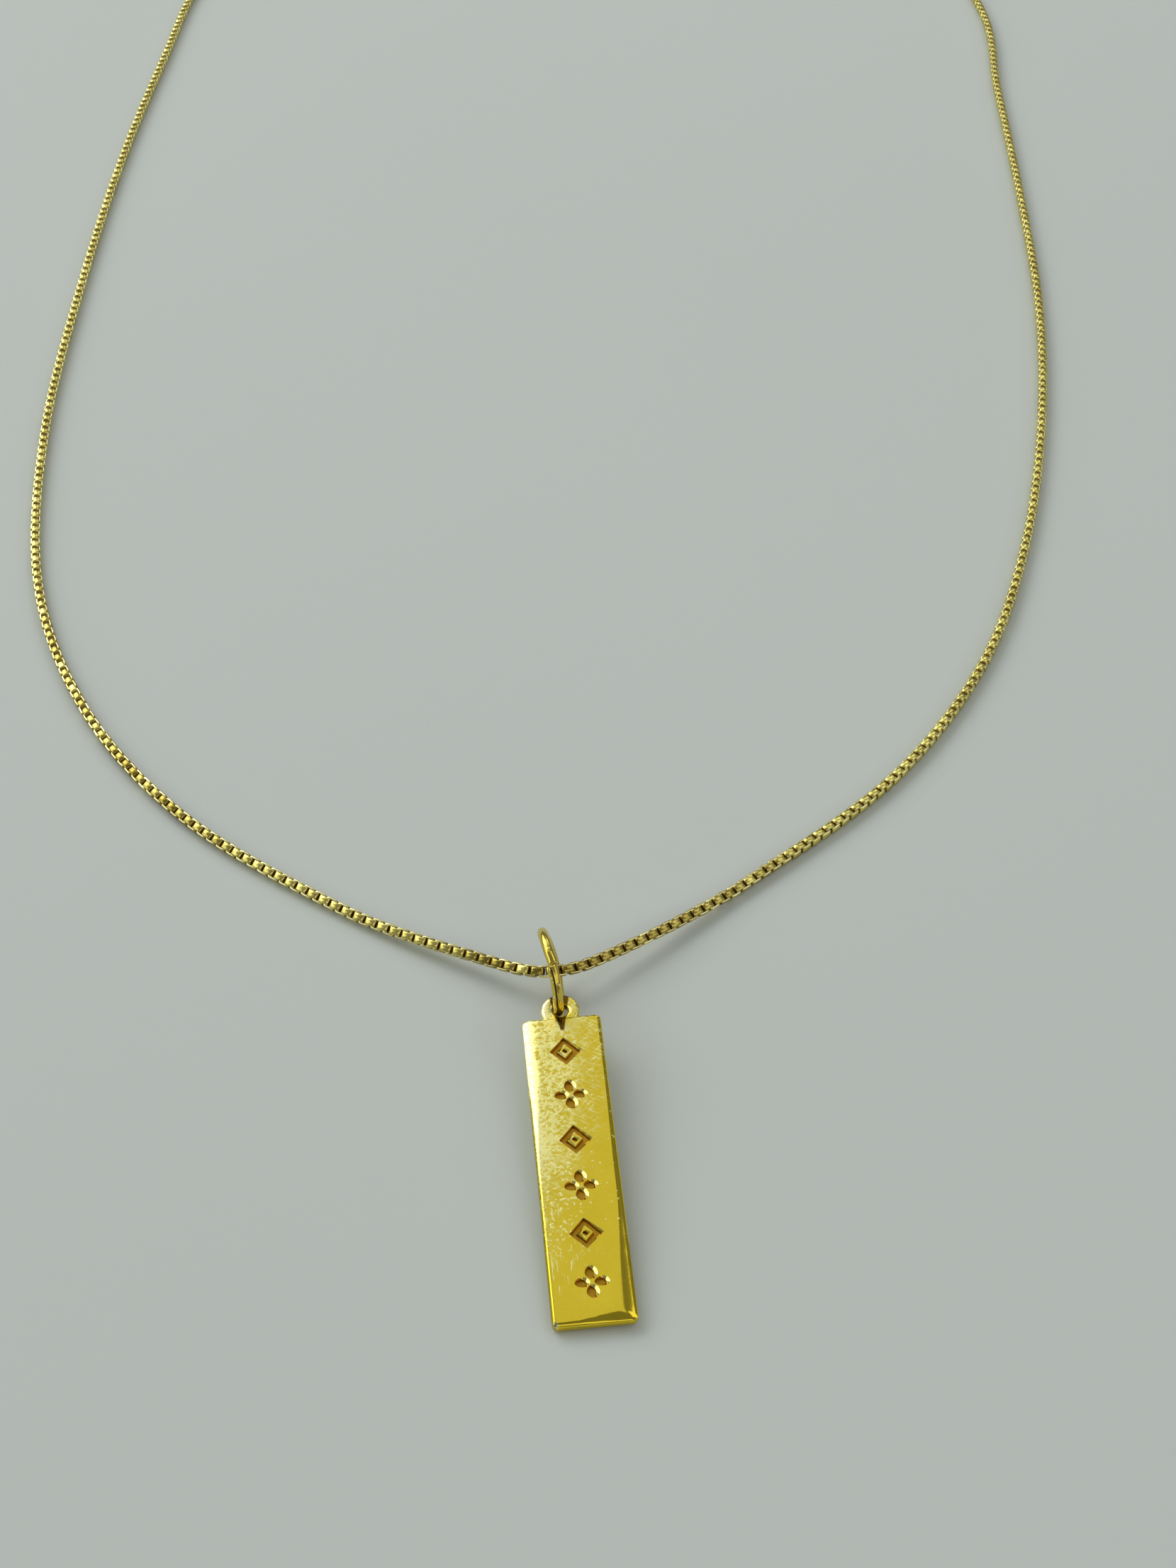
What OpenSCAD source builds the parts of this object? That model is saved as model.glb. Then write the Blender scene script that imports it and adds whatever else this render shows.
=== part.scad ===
// A plate necklace: an engraved bar on a jump ring, and a fine box chain closed by a plain clasp.
// It lies on a flat surface at z = 0, as it was laid down. Sizes are in millimetres.
// +Z is up, +X to the right and +Y from the plate toward the clasp.

/* [Plate] */
// Length of the plate, without its ear
plate_l = 23.9; // [22:0.1:25]
// Width of the plate
plate_w = 5.5; // [4.8:0.1:6.5]
// Thickness of the plate
plate_t = 0.85; // [0.8:0.05:1.2]
// Radius of the plate's rounded edges
edge_r = 0.3; // [0.1:0.05:0.35]
// Radius of the plate's corners, seen from the front
corner_r = 0.4; // [0.2:0.05:0.8]
// Direction in which the plate lies, turned from +Y
plate_yaw = 5.5; // [0:0.5:8]
// Lean of the plate on its left edge
plate_roll = 2; // [0:0.5:4]

/* [Ear] */
// Outer diameter of the ear, a small ring soldered to the plate's end
ear_d = 2.75; // [2.6:0.05:3]
// Thickness of the ear
ear_t = 0.75; // [0.6:0.05:0.8]
// Radius of the ear's rounded edges
ear_edge = 0.25; // [0.1:0.05:0.25]
// Distance of the middle of the ear beyond the plate's end
ear_out = 0.6; // [0.55:0.05:0.9]
// Diameter of the ear's hole
ear_hole_d = 1.4; // [1.35:0.05:1.6]

/* [Engraving] */
// Number of motifs engraved in a column
motifs = 6; // [2:1:6]
// Distance from one motif to the next
motif_pitch = 3.6; // [3.2:0.1:3.6]
// Height of a motif along the plate
motif_h = 2.3; // [1.8:0.1:2.6]
// Width of a motif across the plate
motif_w = 2.1; // [1.6:0.1:2.6]
// Width of an engraved line
stroke = 0.36; // [0.3:0.02:0.4]
// Depth of the engraving
cut_depth = 0.26; // [0.1:0.02:0.4]

/* [Jump ring] */
// Outer diameter of the jump ring
ring_d = 6.85; // [6.8:0.05:7.2]
// Diameter of the ring's wire
ring_wire = 0.85; // [0.75:0.05:0.85]
// Gap between the ends of the ring's wire
ring_split = 0.12; // [0.05:0.01:0.3]
// Place of the split, as an angle from the ring's lowest point
split_angle = 139; // [110:1:170]
// Direction in which the ring stands, turned from +Y
ring_yaw = 8; // [6:1:12]
// Lean of the ring to the left
ring_lean = 8; // [4:1:10]
// Place of the ear on the ring, as an angle from the ring's lowest point
ear_angle = 72; // [70:1:78]
// Place of the chain on the ring, as an angle from the ring's lowest point
cross_angle = 47; // [40:1:50]

/* [Chain] */
// Width of the chain
chain_w = 0.8; // [0.7:0.05:0.85]
// Chamfer of the chain's four corners
chain_chamfer = 0.15; // [0.1:0.01:0.2]
// Gap between the chain and the ring's wire
ring_gap = 0.12; // [0.1:0.01:0.2]

/* [Clasp] */
// Outer diameter of the clasp
clasp_d = 5.5; // [5:0.1:6]
// Diameter of the clasp's round stock
clasp_stock = 1.1; // [0.9:0.05:1.3]
// Outer diameter of the eyes that take the ends of the chain
eye_d = 1.9; // [1.8:0.05:2.2]
// Diameter of the eyes' wire
eye_wire = 0.36; // [0.3:0.02:0.38]
// Gap between an eye and the end of the chain
end_gap = 0.15; // [0.1:0.01:0.3]

/* [Hidden] */
$fn = 64;
gold = [0.80, 0.66, 0.24];
pale_gold = [0.72, 0.63, 0.36];
engraved_gold = [0.56, 0.40, 0.12];
// Width of an engraved leaf, its distance from the middle of its motif, and the share of a core in its frame
leaf_w = stroke * 1.9;
leaf_gap = motif_h * 0.05;
core_share = 0.22;
// Overlap of solids that are joined, and how far a cut runs past a face
eps = 0.05;

// The ring stands on the surface in a plane through its axes ring_side and ring_up
ring_r = (ring_d - ring_wire) / 2;
ring_at = [-0.4, -89.8, ring_r * cos(ring_lean) + ring_wire / 2];
ring_side = [-sin(ring_yaw), cos(ring_yaw), 0];
ring_up = [-sin(ring_lean) * cos(ring_yaw), -sin(ring_lean) * sin(ring_yaw), cos(ring_lean)];
// A point at radius r of the ring, at an angle from its lowest point toward the plate
function on_ring(angle, r) = ring_at - r * (sin(angle) * ring_side + cos(angle) * ring_up);

// The plate's ear hangs at hole_at, and the left corner of its other end rests on the surface
hole_at = on_ring(ear_angle, ring_r);
hole_y = plate_l + ear_out;
hole_z = plate_t / 2;
rest_y = hole_y - edge_r;
rest_z = hole_z - edge_r;
low_side = edge_r + (plate_w / 2 - edge_r) * sin(plate_roll);
plate_tilt = asin((hole_at[2] - low_side) / norm([rest_y, rest_z]) / cos(plate_roll)) - atan2(rest_z, rest_y);
first_motif = plate_l / 2 - (motifs - 1) * motif_pitch / 2;

// The chain crosses the inside of the ring at cross_at, on the side away from the plate.
// Its reach there is a little over half its width, because it comes at a slant to its corners.
chain_reach = chain_w * 0.6;
cross_at = on_ring(-cross_angle, ring_r - ring_wire / 2 - ring_gap - chain_reach);
lay_z = chain_w / 2;

// The clasp lies flat at the back of the loop, and the chain's ends meet its eyes
clasp_at = [1.5, 114.4, clasp_stock / 2];
clasp_r = (clasp_d - clasp_stock) / 2;
eye_r = (eye_d - eye_wire) / 2;
eye_x = clasp_d / 2 + eye_r - eye_wire / 4;
end_x = eye_x + eye_d / 2 + end_gap;

// The chain's way from the clasp down the left side, through the ring and up the right side.
// The first and last points only give the direction at the chain's ends.
route = [
    [6, 114.2, clasp_at[2]],
    [clasp_at[0] - end_x, clasp_at[1], clasp_at[2]],
    [-23, 107.5, lay_z],
    [-38.5, 92.5, lay_z],
    [-44.5, 74, lay_z],
    [-46.5, 53, lay_z],
    [-48, 30, lay_z],
    [-48.5, 5, lay_z],
    [-48, -20, lay_z],
    [-45, -42, lay_z],
    [-38.5, -58.5, lay_z],
    [-29, -71, lay_z],
    [-16.5, -80.5, lay_z],
    [-6, -86.2, 1.2],
    cross_at,
    [5, -85.2, 1.3],
    [14.5, -77.5, lay_z],
    [26, -66.5, lay_z],
    [34.5, -53, lay_z],
    [40, -37.5, lay_z],
    [44, -19, lay_z],
    [46.5, 1, lay_z],
    [47.5, 23, lay_z],
    [48, 46, lay_z],
    [48.5, 66, lay_z],
    [43, 90, lay_z],
    [26.5, 107.5, lay_z],
    [clasp_at[0] + end_x, clasp_at[1], clasp_at[2]],
    [-3, 114.2, clasp_at[2]]
];
steps = 3;

// A point between b and c on the smooth curve through a, b, c and d
function curve(a, b, c, d, t) =
    0.5 * (2 * b + (c - a) * t + (2 * a - 5 * b + 4 * c - d) * t ^ 2 + (3 * b - a - 3 * c + d) * t ^ 3);

// The curve dips a little beside each rise, and is kept on the surface there
function laid(p) = [p[0], p[1], max(p[2], lay_z)];

path = [
    for (i = [1 : len(route) - 3], k = [0 : steps - 1])
        laid(curve(route[i - 1], route[i], route[i + 1], route[i + 2], k / steps)),
    route[len(route) - 2]
];

// The chain's outline across its length: a square with chamfered corners
half_w = chain_w / 2;
flat_w = half_w - chain_chamfer;
section = [
    [flat_w, -half_w], [half_w, -flat_w], [half_w, flat_w], [flat_w, half_w],
    [-flat_w, half_w], [-half_w, flat_w], [-half_w, -flat_w], [-flat_w, -half_w]
];

function unit(v) = v / norm(v);
function heading(i) = unit(path[min(i + 1, len(path) - 1)] - path[max(i - 1, 0)]);
// One ring of points round the path, square to it and upright
function ring_points(i) =
    let (across = unit(cross(heading(i), [0, 0, 1])), up = cross(across, heading(i)))
    [for (p = section) path[i] + p[0] * across + p[1] * up];

// A tube through all rings, with a flat face at each end
module sweep() {
    n = len(section);
    last = len(path) - 1;
    points = [for (i = [0 : last]) each ring_points(i)];
    sides = [
        for (i = [0 : last - 1], k = [0 : n - 1])
            let (k2 = (k + 1) % n)
            [i * n + k, i * n + k2, (i + 1) * n + k2, (i + 1) * n + k]
    ];
    caps = [[for (k = [n - 1 : -1 : 0]) k], [for (k = [0 : n - 1]) last * n + k]];
    polyhedron(points = points, faces = concat(sides, caps), convexity = 10);
}

// A rectangle with round corners, centred on the origin
module round_rect(w, h, r) {
    union() {
        square([w - 2 * r, h], center = true);
        square([w, h - 2 * r], center = true);
        for (x = [-1, 1], y = [-1, 1])
            translate([x * (w / 2 - r), y * (h / 2 - r)])
                circle(r);
    }
}

// A four-sided lozenge of the given width and height
module lozenge(w, h) {
    polygon([[w / 2, 0], [0, h / 2], [-w / 2, 0], [0, -h / 2]]);
}

// A pointed leaf that stands upright, from two arcs
module leaf(w, h) {
    r = (h * h + w * w) / (4 * w);
    intersection() {
        translate([r - w / 2, 0])
            circle(r);
        translate([w / 2 - r, 0])
            circle(r);
    }
}

// A lozenge drawn in one line, with a small lozenge in its middle
module framed_lozenge() {
    line_w = stroke * norm([motif_w, motif_h]);
    difference() {
        lozenge(motif_w, motif_h);
        lozenge(motif_w - 2 * line_w / motif_h, motif_h - 2 * line_w / motif_w);
    }
    lozenge(motif_w * core_share, motif_h * core_share);
}

// Four leaves round a centre: two along the plate and two across it
module leaf_cross() {
    for (y = [-1, 1])
        translate([0, y * (motif_h / 2 + leaf_gap) / 2])
            leaf(leaf_w, motif_h / 2 - leaf_gap);
    for (x = [-1, 1])
        translate([x * (motif_w / 2 + leaf_gap) / 2, 0])
            rotate(90)
                leaf(leaf_w, motif_w / 2 - leaf_gap);
}

// The plate before its engraving, with its width and length rounded all round
module plate_blank() {
    intersection() {
        translate([0, plate_l, plate_t / 2])
            rotate([90, 0, 0])
                linear_extrude(plate_l)
                    round_rect(plate_w, plate_t, edge_r);
        translate([0, plate_l / 2, plate_t / 2])
            rotate([0, 90, 0])
                linear_extrude(plate_w, center = true)
                    round_rect(plate_t, plate_l, edge_r);
        translate([0, plate_l / 2, 0])
            linear_extrude(plate_t)
                round_rect(plate_w, plate_l, corner_r);
    }
}

// A small closed ring with rounded edges, sunk a little into the plate's end
module ear() {
    limb = (ear_d - ear_hole_d) / 2;
    translate([0, hole_y, hole_z])
        rotate_extrude()
            translate([ear_d / 2 - limb / 2, 0])
                round_rect(limb, ear_t, ear_edge);
}

// The engraved motifs, in turn along the plate
module engraving() {
    for (i = [0 : motifs - 1])
        translate([0, first_motif + i * motif_pitch, plate_t - cut_depth])
            linear_extrude(cut_depth + eps)
                if (i % 2 == 0) leaf_cross();
                else framed_lozenge();
}

module plate() {
    color(gold)
        translate(hole_at)
            rotate([plate_tilt, -plate_roll, plate_yaw])
                translate([0, -hole_y, -hole_z])
                    union() {
                        difference() {
                            plate_blank();
                            color(engraved_gold)
                                engraving();
                        }
                        ear();
                    }
}

// A round wire bent to a ring whose ends nearly meet
module jump_ring() {
    split = 2 * asin(ring_split / 2 / ring_r);
    color(gold)
        translate(ring_at)
            multmatrix([
                [cos(ring_yaw) * cos(ring_lean), -ring_side[0], -ring_up[0], 0],
                [sin(ring_yaw) * cos(ring_lean), -ring_side[1], -ring_up[1], 0],
                [sin(ring_lean), -ring_side[2], -ring_up[2], 0],
                [0, 0, 0, 1]
            ])
                rotate([90 - split_angle, 0, 0])
                    rotate([0, 90, 0])
                        rotate([0, 0, split / 2])
                            rotate_extrude(angle = 360 - split)
                                translate([ring_r, 0])
                                    circle(d = ring_wire);
}

module chain() {
    color(pale_gold)
        sweep();
}

// A plain closed ring with an eye on each side
module clasp() {
    color(gold)
        translate(clasp_at) {
            rotate_extrude()
                translate([clasp_r, 0])
                    circle(d = clasp_stock);
            for (side = [-1, 1])
                translate([side * eye_x, 0, 0])
                    rotate_extrude()
                        translate([eye_r, 0])
                            circle(d = eye_wire);
        }
}

plate();
jump_ring();
chain();
clasp();
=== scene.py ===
# A plate necklace laid in a loop: an engraved bar, its jump ring, a fine box chain and a plain clasp.
# Pieces are modelled in millimetres, where they lie, and brought to metres as the last step of each.
import math
import random

import bmesh
import bpy
from mathutils import Matrix, Vector


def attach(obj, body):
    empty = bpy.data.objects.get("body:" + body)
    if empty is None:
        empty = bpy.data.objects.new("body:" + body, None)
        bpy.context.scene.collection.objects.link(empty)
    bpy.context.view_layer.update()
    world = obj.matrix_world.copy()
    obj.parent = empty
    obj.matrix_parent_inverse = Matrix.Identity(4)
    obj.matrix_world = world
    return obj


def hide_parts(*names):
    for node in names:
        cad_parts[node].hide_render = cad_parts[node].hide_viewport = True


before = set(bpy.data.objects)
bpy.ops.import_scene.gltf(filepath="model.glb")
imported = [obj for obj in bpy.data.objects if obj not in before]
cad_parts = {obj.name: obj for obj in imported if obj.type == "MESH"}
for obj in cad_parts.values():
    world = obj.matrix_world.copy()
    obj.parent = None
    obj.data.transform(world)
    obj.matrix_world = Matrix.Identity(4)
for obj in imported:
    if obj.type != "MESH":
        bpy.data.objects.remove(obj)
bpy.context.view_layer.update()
metresPerMm = 0.001
print("Frame loaded:", ", ".join(sorted(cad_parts)))


# Camera: low over the near end of the plate, as the necklace was seen
cameraView = {
    "place": (2.05, -203.0, 128.8),  # mm
    "tilt": 46.6,  # degrees up from looking straight down
    "lens": 55.07,  # mm
    "sensor": 36.0,  # mm high
    "nearest": 0.005,  # metres that it still sees
    "farthest": 20.0,
}


def placeCamera():
    data = bpy.data.cameras.new("camera")
    data.sensor_fit = "VERTICAL"
    data.sensor_height = cameraView["sensor"]
    data.lens = cameraView["lens"]
    data.clip_start = cameraView["nearest"]
    data.clip_end = cameraView["farthest"]
    camera = bpy.data.objects.new("camera", data)
    camera.location = Vector(cameraView["place"]) * metresPerMm
    camera.rotation_euler = (math.radians(cameraView["tilt"]), 0.0, 0.0)
    bpy.context.scene.collection.objects.link(camera)
    bpy.context.scene.camera = camera
    bpy.context.scene.view_settings.view_transform = "Standard"


# Shader maths as Python expressions: a Signal is a socket whose value varies over a surface
class Signal:
    def __init__(self, finish, socket):
        self.finish = finish
        self.socket = socket

    def math(self, operation, first, second):
        return self.finish.node("ShaderNodeMath", {"operation": operation}, {0: first, 1: second})

    def __add__(self, other):
        return self.math("ADD", self, other)

    def __radd__(self, other):
        return self.math("ADD", other, self)

    def __sub__(self, other):
        return self.math("SUBTRACT", self, other)

    def __rsub__(self, other):
        return self.math("SUBTRACT", other, self)

    def __mul__(self, other):
        return self.math("MULTIPLY", self, other)

    def __rmul__(self, other):
        return self.math("MULTIPLY", other, self)


class Finish:
    def __init__(self, name):
        self.material = bpy.data.materials.new(name)
        self.material.use_nodes = True
        self.tree = self.material.node_tree
        self.shader = self.tree.nodes["Principled BSDF"]

    def node(self, kind, settings=None, inputs=None, output=0):
        made = self.tree.nodes.new(kind)
        for name, value in (settings or {}).items():
            setattr(made, name, value)
        for name, value in (inputs or {}).items():
            self.feed(made.inputs[name], value)
        return Signal(self, made.outputs[output])

    def feed(self, socket, value):
        if isinstance(value, Signal):
            self.tree.links.new(value.socket, socket)
        else:
            socket.default_value = value

    def set(self, **values):
        for name, value in values.items():
            self.feed(self.shader.inputs[name.replace("_", " ")], value)

    # Object coordinates in millimetres, in a frame of the piece's own
    def coordinates(self, origin=(0.0, 0.0, 0.0), turn=(0.0, 0.0, 0.0), size=(1.0, 1.0, 1.0)):
        place = self.node("ShaderNodeTexCoord", output="Object")
        scale = tuple(metresPerMm * part for part in size)
        inputs = {"Vector": place, "Location": origin, "Rotation": turn, "Scale": scale}
        return self.node("ShaderNodeMapping", {"vector_type": "TEXTURE"}, inputs)

    def noise(self, place, scale, detail):
        return self.node("ShaderNodeTexNoise", None, {"Vector": place, "Scale": scale, "Detail": detail})

    # 0 below low, 1 above high, and smooth between
    def step(self, value, low, high):
        inputs = {"Value": value, "From Min": low, "From Max": high}
        return self.node("ShaderNodeMapRange", {"interpolation_type": "SMOOTHSTEP"}, inputs)

    # A colour is three numbers or another blend
    def blend(self, factor, first, second):
        first, second = (
            colour if isinstance(colour, Signal) else colour + (1.0,) for colour in (first, second)
        )
        return self.node("ShaderNodeMix", {"data_type": "RGBA"}, {0: factor, 6: first, 7: second}, output=2)

    # A value kept between 0 and 1
    def limit(self, value):
        return self.node("ShaderNodeClamp", None, {"Value": value})

    def distance(self, place, point):
        inputs = {0: place, 1: point}
        return self.node("ShaderNodeVectorMath", {"operation": "DISTANCE"}, inputs, output="Value")

    # A value kept on the faces of a mesh, or on its vertices
    def attribute(self, name):
        return self.node("ShaderNodeAttribute", {"attribute_name": name}, output="Fac")

    def relief(self, height, depth):
        bump = self.node("ShaderNodeBump", None, {"Height": height, "Distance": depth * metresPerMm})
        self.set(Normal=bump)


# Turns a bmesh into a piece in metres. Edges that bend by more than sharpAngle, in degrees, stay sharp.
def finishPiece(name, bm, finishes, sharpAngle=50.0):
    bmesh.ops.recalc_face_normals(bm, faces=bm.faces)
    bmesh.ops.scale(bm, vec=Vector((1, 1, 1)) * metresPerMm, verts=bm.verts)
    mesh = bpy.data.meshes.new(name)
    bm.to_mesh(mesh)
    bm.free()
    for polygon in mesh.polygons:
        polygon.use_smooth = True
    mesh.set_sharp_from_angle(angle=math.radians(sharpAngle))
    for finish in finishes:
        mesh.materials.append(finish.material)
    piece = bpy.data.objects.new(name, mesh)
    bpy.context.scene.collection.objects.link(piece)
    modifier = piece.modifiers.new("even_shading", "WEIGHTED_NORMAL")
    modifier.keep_sharp = True
    return piece


def bevelEdges(bm, edges, offset, segments):
    return bmesh.ops.bevel(
        bm, geom=edges, offset=offset, segments=segments, profile=0.5, affect="EDGES", material=-1,
        clamp_overlap=True,
    )


def edgesAtHeight(bm, height):
    def level(vertex):
        return abs(vertex.co.z - height) < 1e-4
    return [edge for edge in bm.edges if all(level(vertex) for vertex in edge.verts)]


def uprightEdges(bm, height):
    return [edge for edge in bm.edges if abs(edge.verts[0].co.z - edge.verts[1].co.z) > height]


# Cuts one closed shape out of another, or joins them, and returns the result as a new bmesh
def combine(body, tool, operation):
    objects = []
    for bm in (body, tool):
        mesh = bpy.data.meshes.new("part")
        bm.to_mesh(mesh)
        bm.free()
        part = bpy.data.objects.new("part", mesh)
        bpy.context.scene.collection.objects.link(part)
        objects.append(part)
    modifier = objects[0].modifiers.new("combine", "BOOLEAN")
    modifier.operation = operation
    modifier.solver = "EXACT"
    modifier.object = objects[1]
    graph = bpy.context.evaluated_depsgraph_get()
    mesh = bpy.data.meshes.new_from_object(objects[0].evaluated_get(graph))
    result = bmesh.new()
    result.from_mesh(mesh)
    bpy.data.meshes.remove(mesh)
    for part in objects:
        used = part.data
        bpy.data.objects.remove(part)
        bpy.data.meshes.remove(used)
    return result


# Jump ring: where it stands sets where the plate hangs and where the chain crosses
ring = {
    "centre": (-0.4, -89.8, 3.3958),
    "radius": 3.0,  # to the middle of the wire
    "wire": 0.74,
    "yaw": 8.0,  # degrees from straight away
    "lean": 8.0,  # degrees to the left
    "splitAt": 149.0,  # degrees from the lowest point, toward the plate
    "splitGap": 0.16,
    "saddle": 0.17,  # how far the bent ring leaves its plane
    "saddleAt": 137.0,  # degrees, where it is bent farthest to the right
    "slip": 0.07,  # how far the two ends pass each other sideways
    "skew": 0.35,  # slant of the saw cut
    "wedge": 0.20,  # how much more each end slants, so that the cut is open on the left
    "endReach": 0.22,  # radians from the split over which the ends bend
    "endRound": 0.05,  # radius of the ends' edges
    "sides": 24,
    "steps": 96,
    "darkLineFrom": 76.0,  # a painted dark reflection line runs along the wire from here to the split
    "darkLineAt": -14.0,  # degrees round the wire from its outside
    "darkLineWidth": 20.0,  # degrees over which it fades out
    "earAt": 72.0,  # degrees from the lowest point toward the plate, where the ear hangs
    "chainAt": 47.0,  # degrees from it the other way, where the chain crosses
    "chainRadius": 1.975,  # from the ring's centre to the chain's middle there
}


def ringAxes():
    yaw = math.radians(ring["yaw"])
    lean = math.radians(ring["lean"])
    away = Vector((-math.sin(yaw), math.cos(yaw), 0.0))
    up = Vector((-math.sin(lean) * math.cos(yaw), -math.sin(lean) * math.sin(yaw), math.cos(lean)))
    return away, up


# A point of the ring's plane, by its angle from the lowest point toward the plate
def onRing(degrees, radius):
    away, up = ringAxes()
    angle = math.radians(degrees)
    return Vector(ring["centre"]) - radius * (math.sin(angle) * away + math.cos(angle) * up)


def makeRing(finish):
    radius = ring["radius"]
    wireRadius = ring["wire"] / 2
    halfGap = ring["splitGap"] / 2 / radius
    start = math.radians(ring["splitAt"]) + halfGap
    bm = bmesh.new()
    upright = Matrix.Translation((0, 0, radius)) @ Matrix.Rotation(math.pi / 2, 4, "X")
    bmesh.ops.create_circle(bm, radius=wireRadius, segments=ring["sides"], matrix=upright)
    bmesh.ops.rotate(bm, matrix=Matrix.Rotation(-start, 3, "X"), verts=bm.verts)
    bmesh.ops.spin(
        bm, geom=bm.verts[:] + bm.edges[:], axis=(1, 0, 0), cent=(0, 0, 0),
        angle=-(2 * math.pi - 2 * halfGap), steps=ring["steps"],
    )
    openEnds = [edge for edge in bm.edges if edge.is_boundary]
    caps = bmesh.ops.holes_fill(bm, edges=openEnds)["faces"]
    bevelEdges(bm, list({edge for cap in caps for edge in cap.edges}), ring["endRound"], 2)
    saddleAt = math.radians(ring["saddleAt"])
    splitAt = math.radians(ring["splitAt"])
    darkLine = bm.verts.layers.float.new("wireDarkReflection")
    # Mark the painted dark reflection line, slant the two ends past each other and bend the whole out of its
    # plane
    for vertex in bm.verts:
        angle = math.atan2(vertex.co.y, vertex.co.z)
        out = vertex.co.yz.length - radius
        section = math.degrees(math.atan2(vertex.co.x, out))
        if ring["darkLineFrom"] < math.degrees(angle) < ring["splitAt"]:
            vertex[darkLine] = max(1 - abs(section - ring["darkLineAt"]) / ring["darkLineWidth"], 0.0)
        past = (angle - splitAt + math.pi) % (2 * math.pi) - math.pi
        nearEnd = math.exp(-(past / ring["endReach"]) ** 2)
        side = 1.0 if past > 0 else -1.0
        slant = vertex.co.x * (ring["skew"] - side * ring["wedge"]) * nearEnd
        vertex.co.y += slant * math.cos(angle)
        vertex.co.z -= slant * math.sin(angle)
        vertex.co.x += ring["saddle"] * math.cos(2 * (angle - saddleAt)) + side * ring["slip"] * nearEnd
    away, up = ringAxes()
    standing = Matrix((away.cross(up), -away, -up)).transposed().to_4x4()
    bmesh.ops.transform(bm, matrix=Matrix.Translation(ring["centre"]) @ standing, verts=bm.verts)
    piece = finishPiece("ring_wire", bm, [finish])
    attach(piece, "root")
    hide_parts("jump_ring")
    print("Jump ring made")


# Plate: y runs from its near end to its far end, and z up from its back
plate = {
    "length": 23.9,
    "width": 5.5,
    "thickness": 0.85,
    "edge": 0.3,  # radius of its rounded edges
    "corner": 0.4,
    "yaw": 5.5,  # degrees that its far end points to the left
    "roll": 2.0,  # degrees that it leans on its left edge
    "earWidth": 2.75,
    "earThickness": 0.75,
    "earOut": 0.6,  # from the plate's end to the middle of the ear
    "earEdge": 0.25,
    "hole": 1.06,  # width of the ear's hole
}
solder = {"size": (2.5, 0.62, 0.76), "out": -0.2}  # out: from the plate's end to its middle
engraving = {
    "count": 6,
    "pitch": 3.6,
    "height": 2.3,
    "width": 2.1,
    "stroke": 0.4,
    "leafWidth": 0.66,
    "leafGap": 0.22,  # from the cross's centre to a leaf
    "coreShare": 0.2,  # of the middle lozenge in the whole one
    "rimDepth": 0.09,  # the walls above this are polished, with a painted highlight on their rims, and those below it are painted brown as shade
}
# Levels of a cut from its floor up: how far below the front, and how far its outline is spread there.
# The walls that face left are worn to a wide slope.
cutLevels = [
    {"below": 0.26, "spread": -0.05, "rightSpread": -0.05},
    {"below": 0.16, "spread": -0.03, "rightSpread": -0.05},
    {"below": 0.12, "spread": -0.02, "rightSpread": -0.02},
    {"below": -0.01, "spread": 0.01, "rightSpread": 0.18},
    {"below": -0.2, "spread": 0.01, "rightSpread": 0.18},
]


# The plate hangs on the ring by its ear, and the left corner of its near end rests on the surface
def platePlace():
    hole = onRing(ring["earAt"], ring["radius"])
    edge = plate["edge"]
    roll = math.radians(plate["roll"])
    holeY = plate["length"] + plate["earOut"]
    holeZ = plate["thickness"] / 2
    rest = Vector((holeY - edge, holeZ - edge))
    lowSide = edge + (plate["width"] / 2 - edge) * math.sin(roll)
    tilt = math.asin((hole.z - lowSide) / rest.length / math.cos(roll)) - math.atan2(rest.y, rest.x)
    turned = (
        Matrix.Rotation(math.radians(plate["yaw"]), 4, "Z") @ Matrix.Rotation(-roll, 4, "Y")
        @ Matrix.Rotation(tilt, 4, "X")
    )
    return Matrix.Translation(hole) @ turned @ Matrix.Translation((0, -holeY, -holeZ))


def makeSlab():
    size = Vector((plate["width"], plate["length"], plate["thickness"]))
    bm = bmesh.new()
    bmesh.ops.create_cube(bm, size=1)
    bmesh.ops.scale(bm, vec=size, verts=bm.verts)
    bmesh.ops.translate(bm, vec=(0, size.y / 2, size.z / 2), verts=bm.verts)
    bevelEdges(bm, uprightEdges(bm, size.z / 2), plate["corner"], 5)
    bevelEdges(bm, edgesAtHeight(bm, size.z), plate["edge"], 6)
    bevelEdges(bm, edgesAtHeight(bm, 0.0), plate["edge"], 5)
    return bm


# A small closed ring of half-round wire, spun round the ear's middle
def makeEar():
    limb = (plate["earWidth"] - plate["hole"]) / 2
    middle = Vector((0, plate["length"] + plate["earOut"], plate["thickness"] / 2))
    bm = bmesh.new()
    upright = Matrix.Translation(((plate["hole"] + limb) / 2, 0, 0)) @ Matrix.Rotation(math.pi / 2, 4, "X")
    size = Matrix.Diagonal((limb, plate["earThickness"], 1, 1))
    section = bmesh.ops.create_grid(bm, x_segments=1, y_segments=1, size=0.5, matrix=upright @ size)
    bmesh.ops.bevel(
        bm, geom=section["verts"], offset=plate["earEdge"], segments=5, profile=0.5, affect="VERTICES",
        material=-1,
    )
    bmesh.ops.delete(bm, geom=bm.faces[:], context="FACES_ONLY")
    bmesh.ops.spin(
        bm, geom=bm.verts[:] + bm.edges[:], axis=(0, 0, 1), cent=(0, 0, 0), angle=2 * math.pi, steps=72,
        use_merge=True,
    )
    bmesh.ops.translate(bm, vec=middle, verts=bm.verts)
    bmesh.ops.recalc_face_normals(bm, faces=bm.faces)
    return bm


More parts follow.
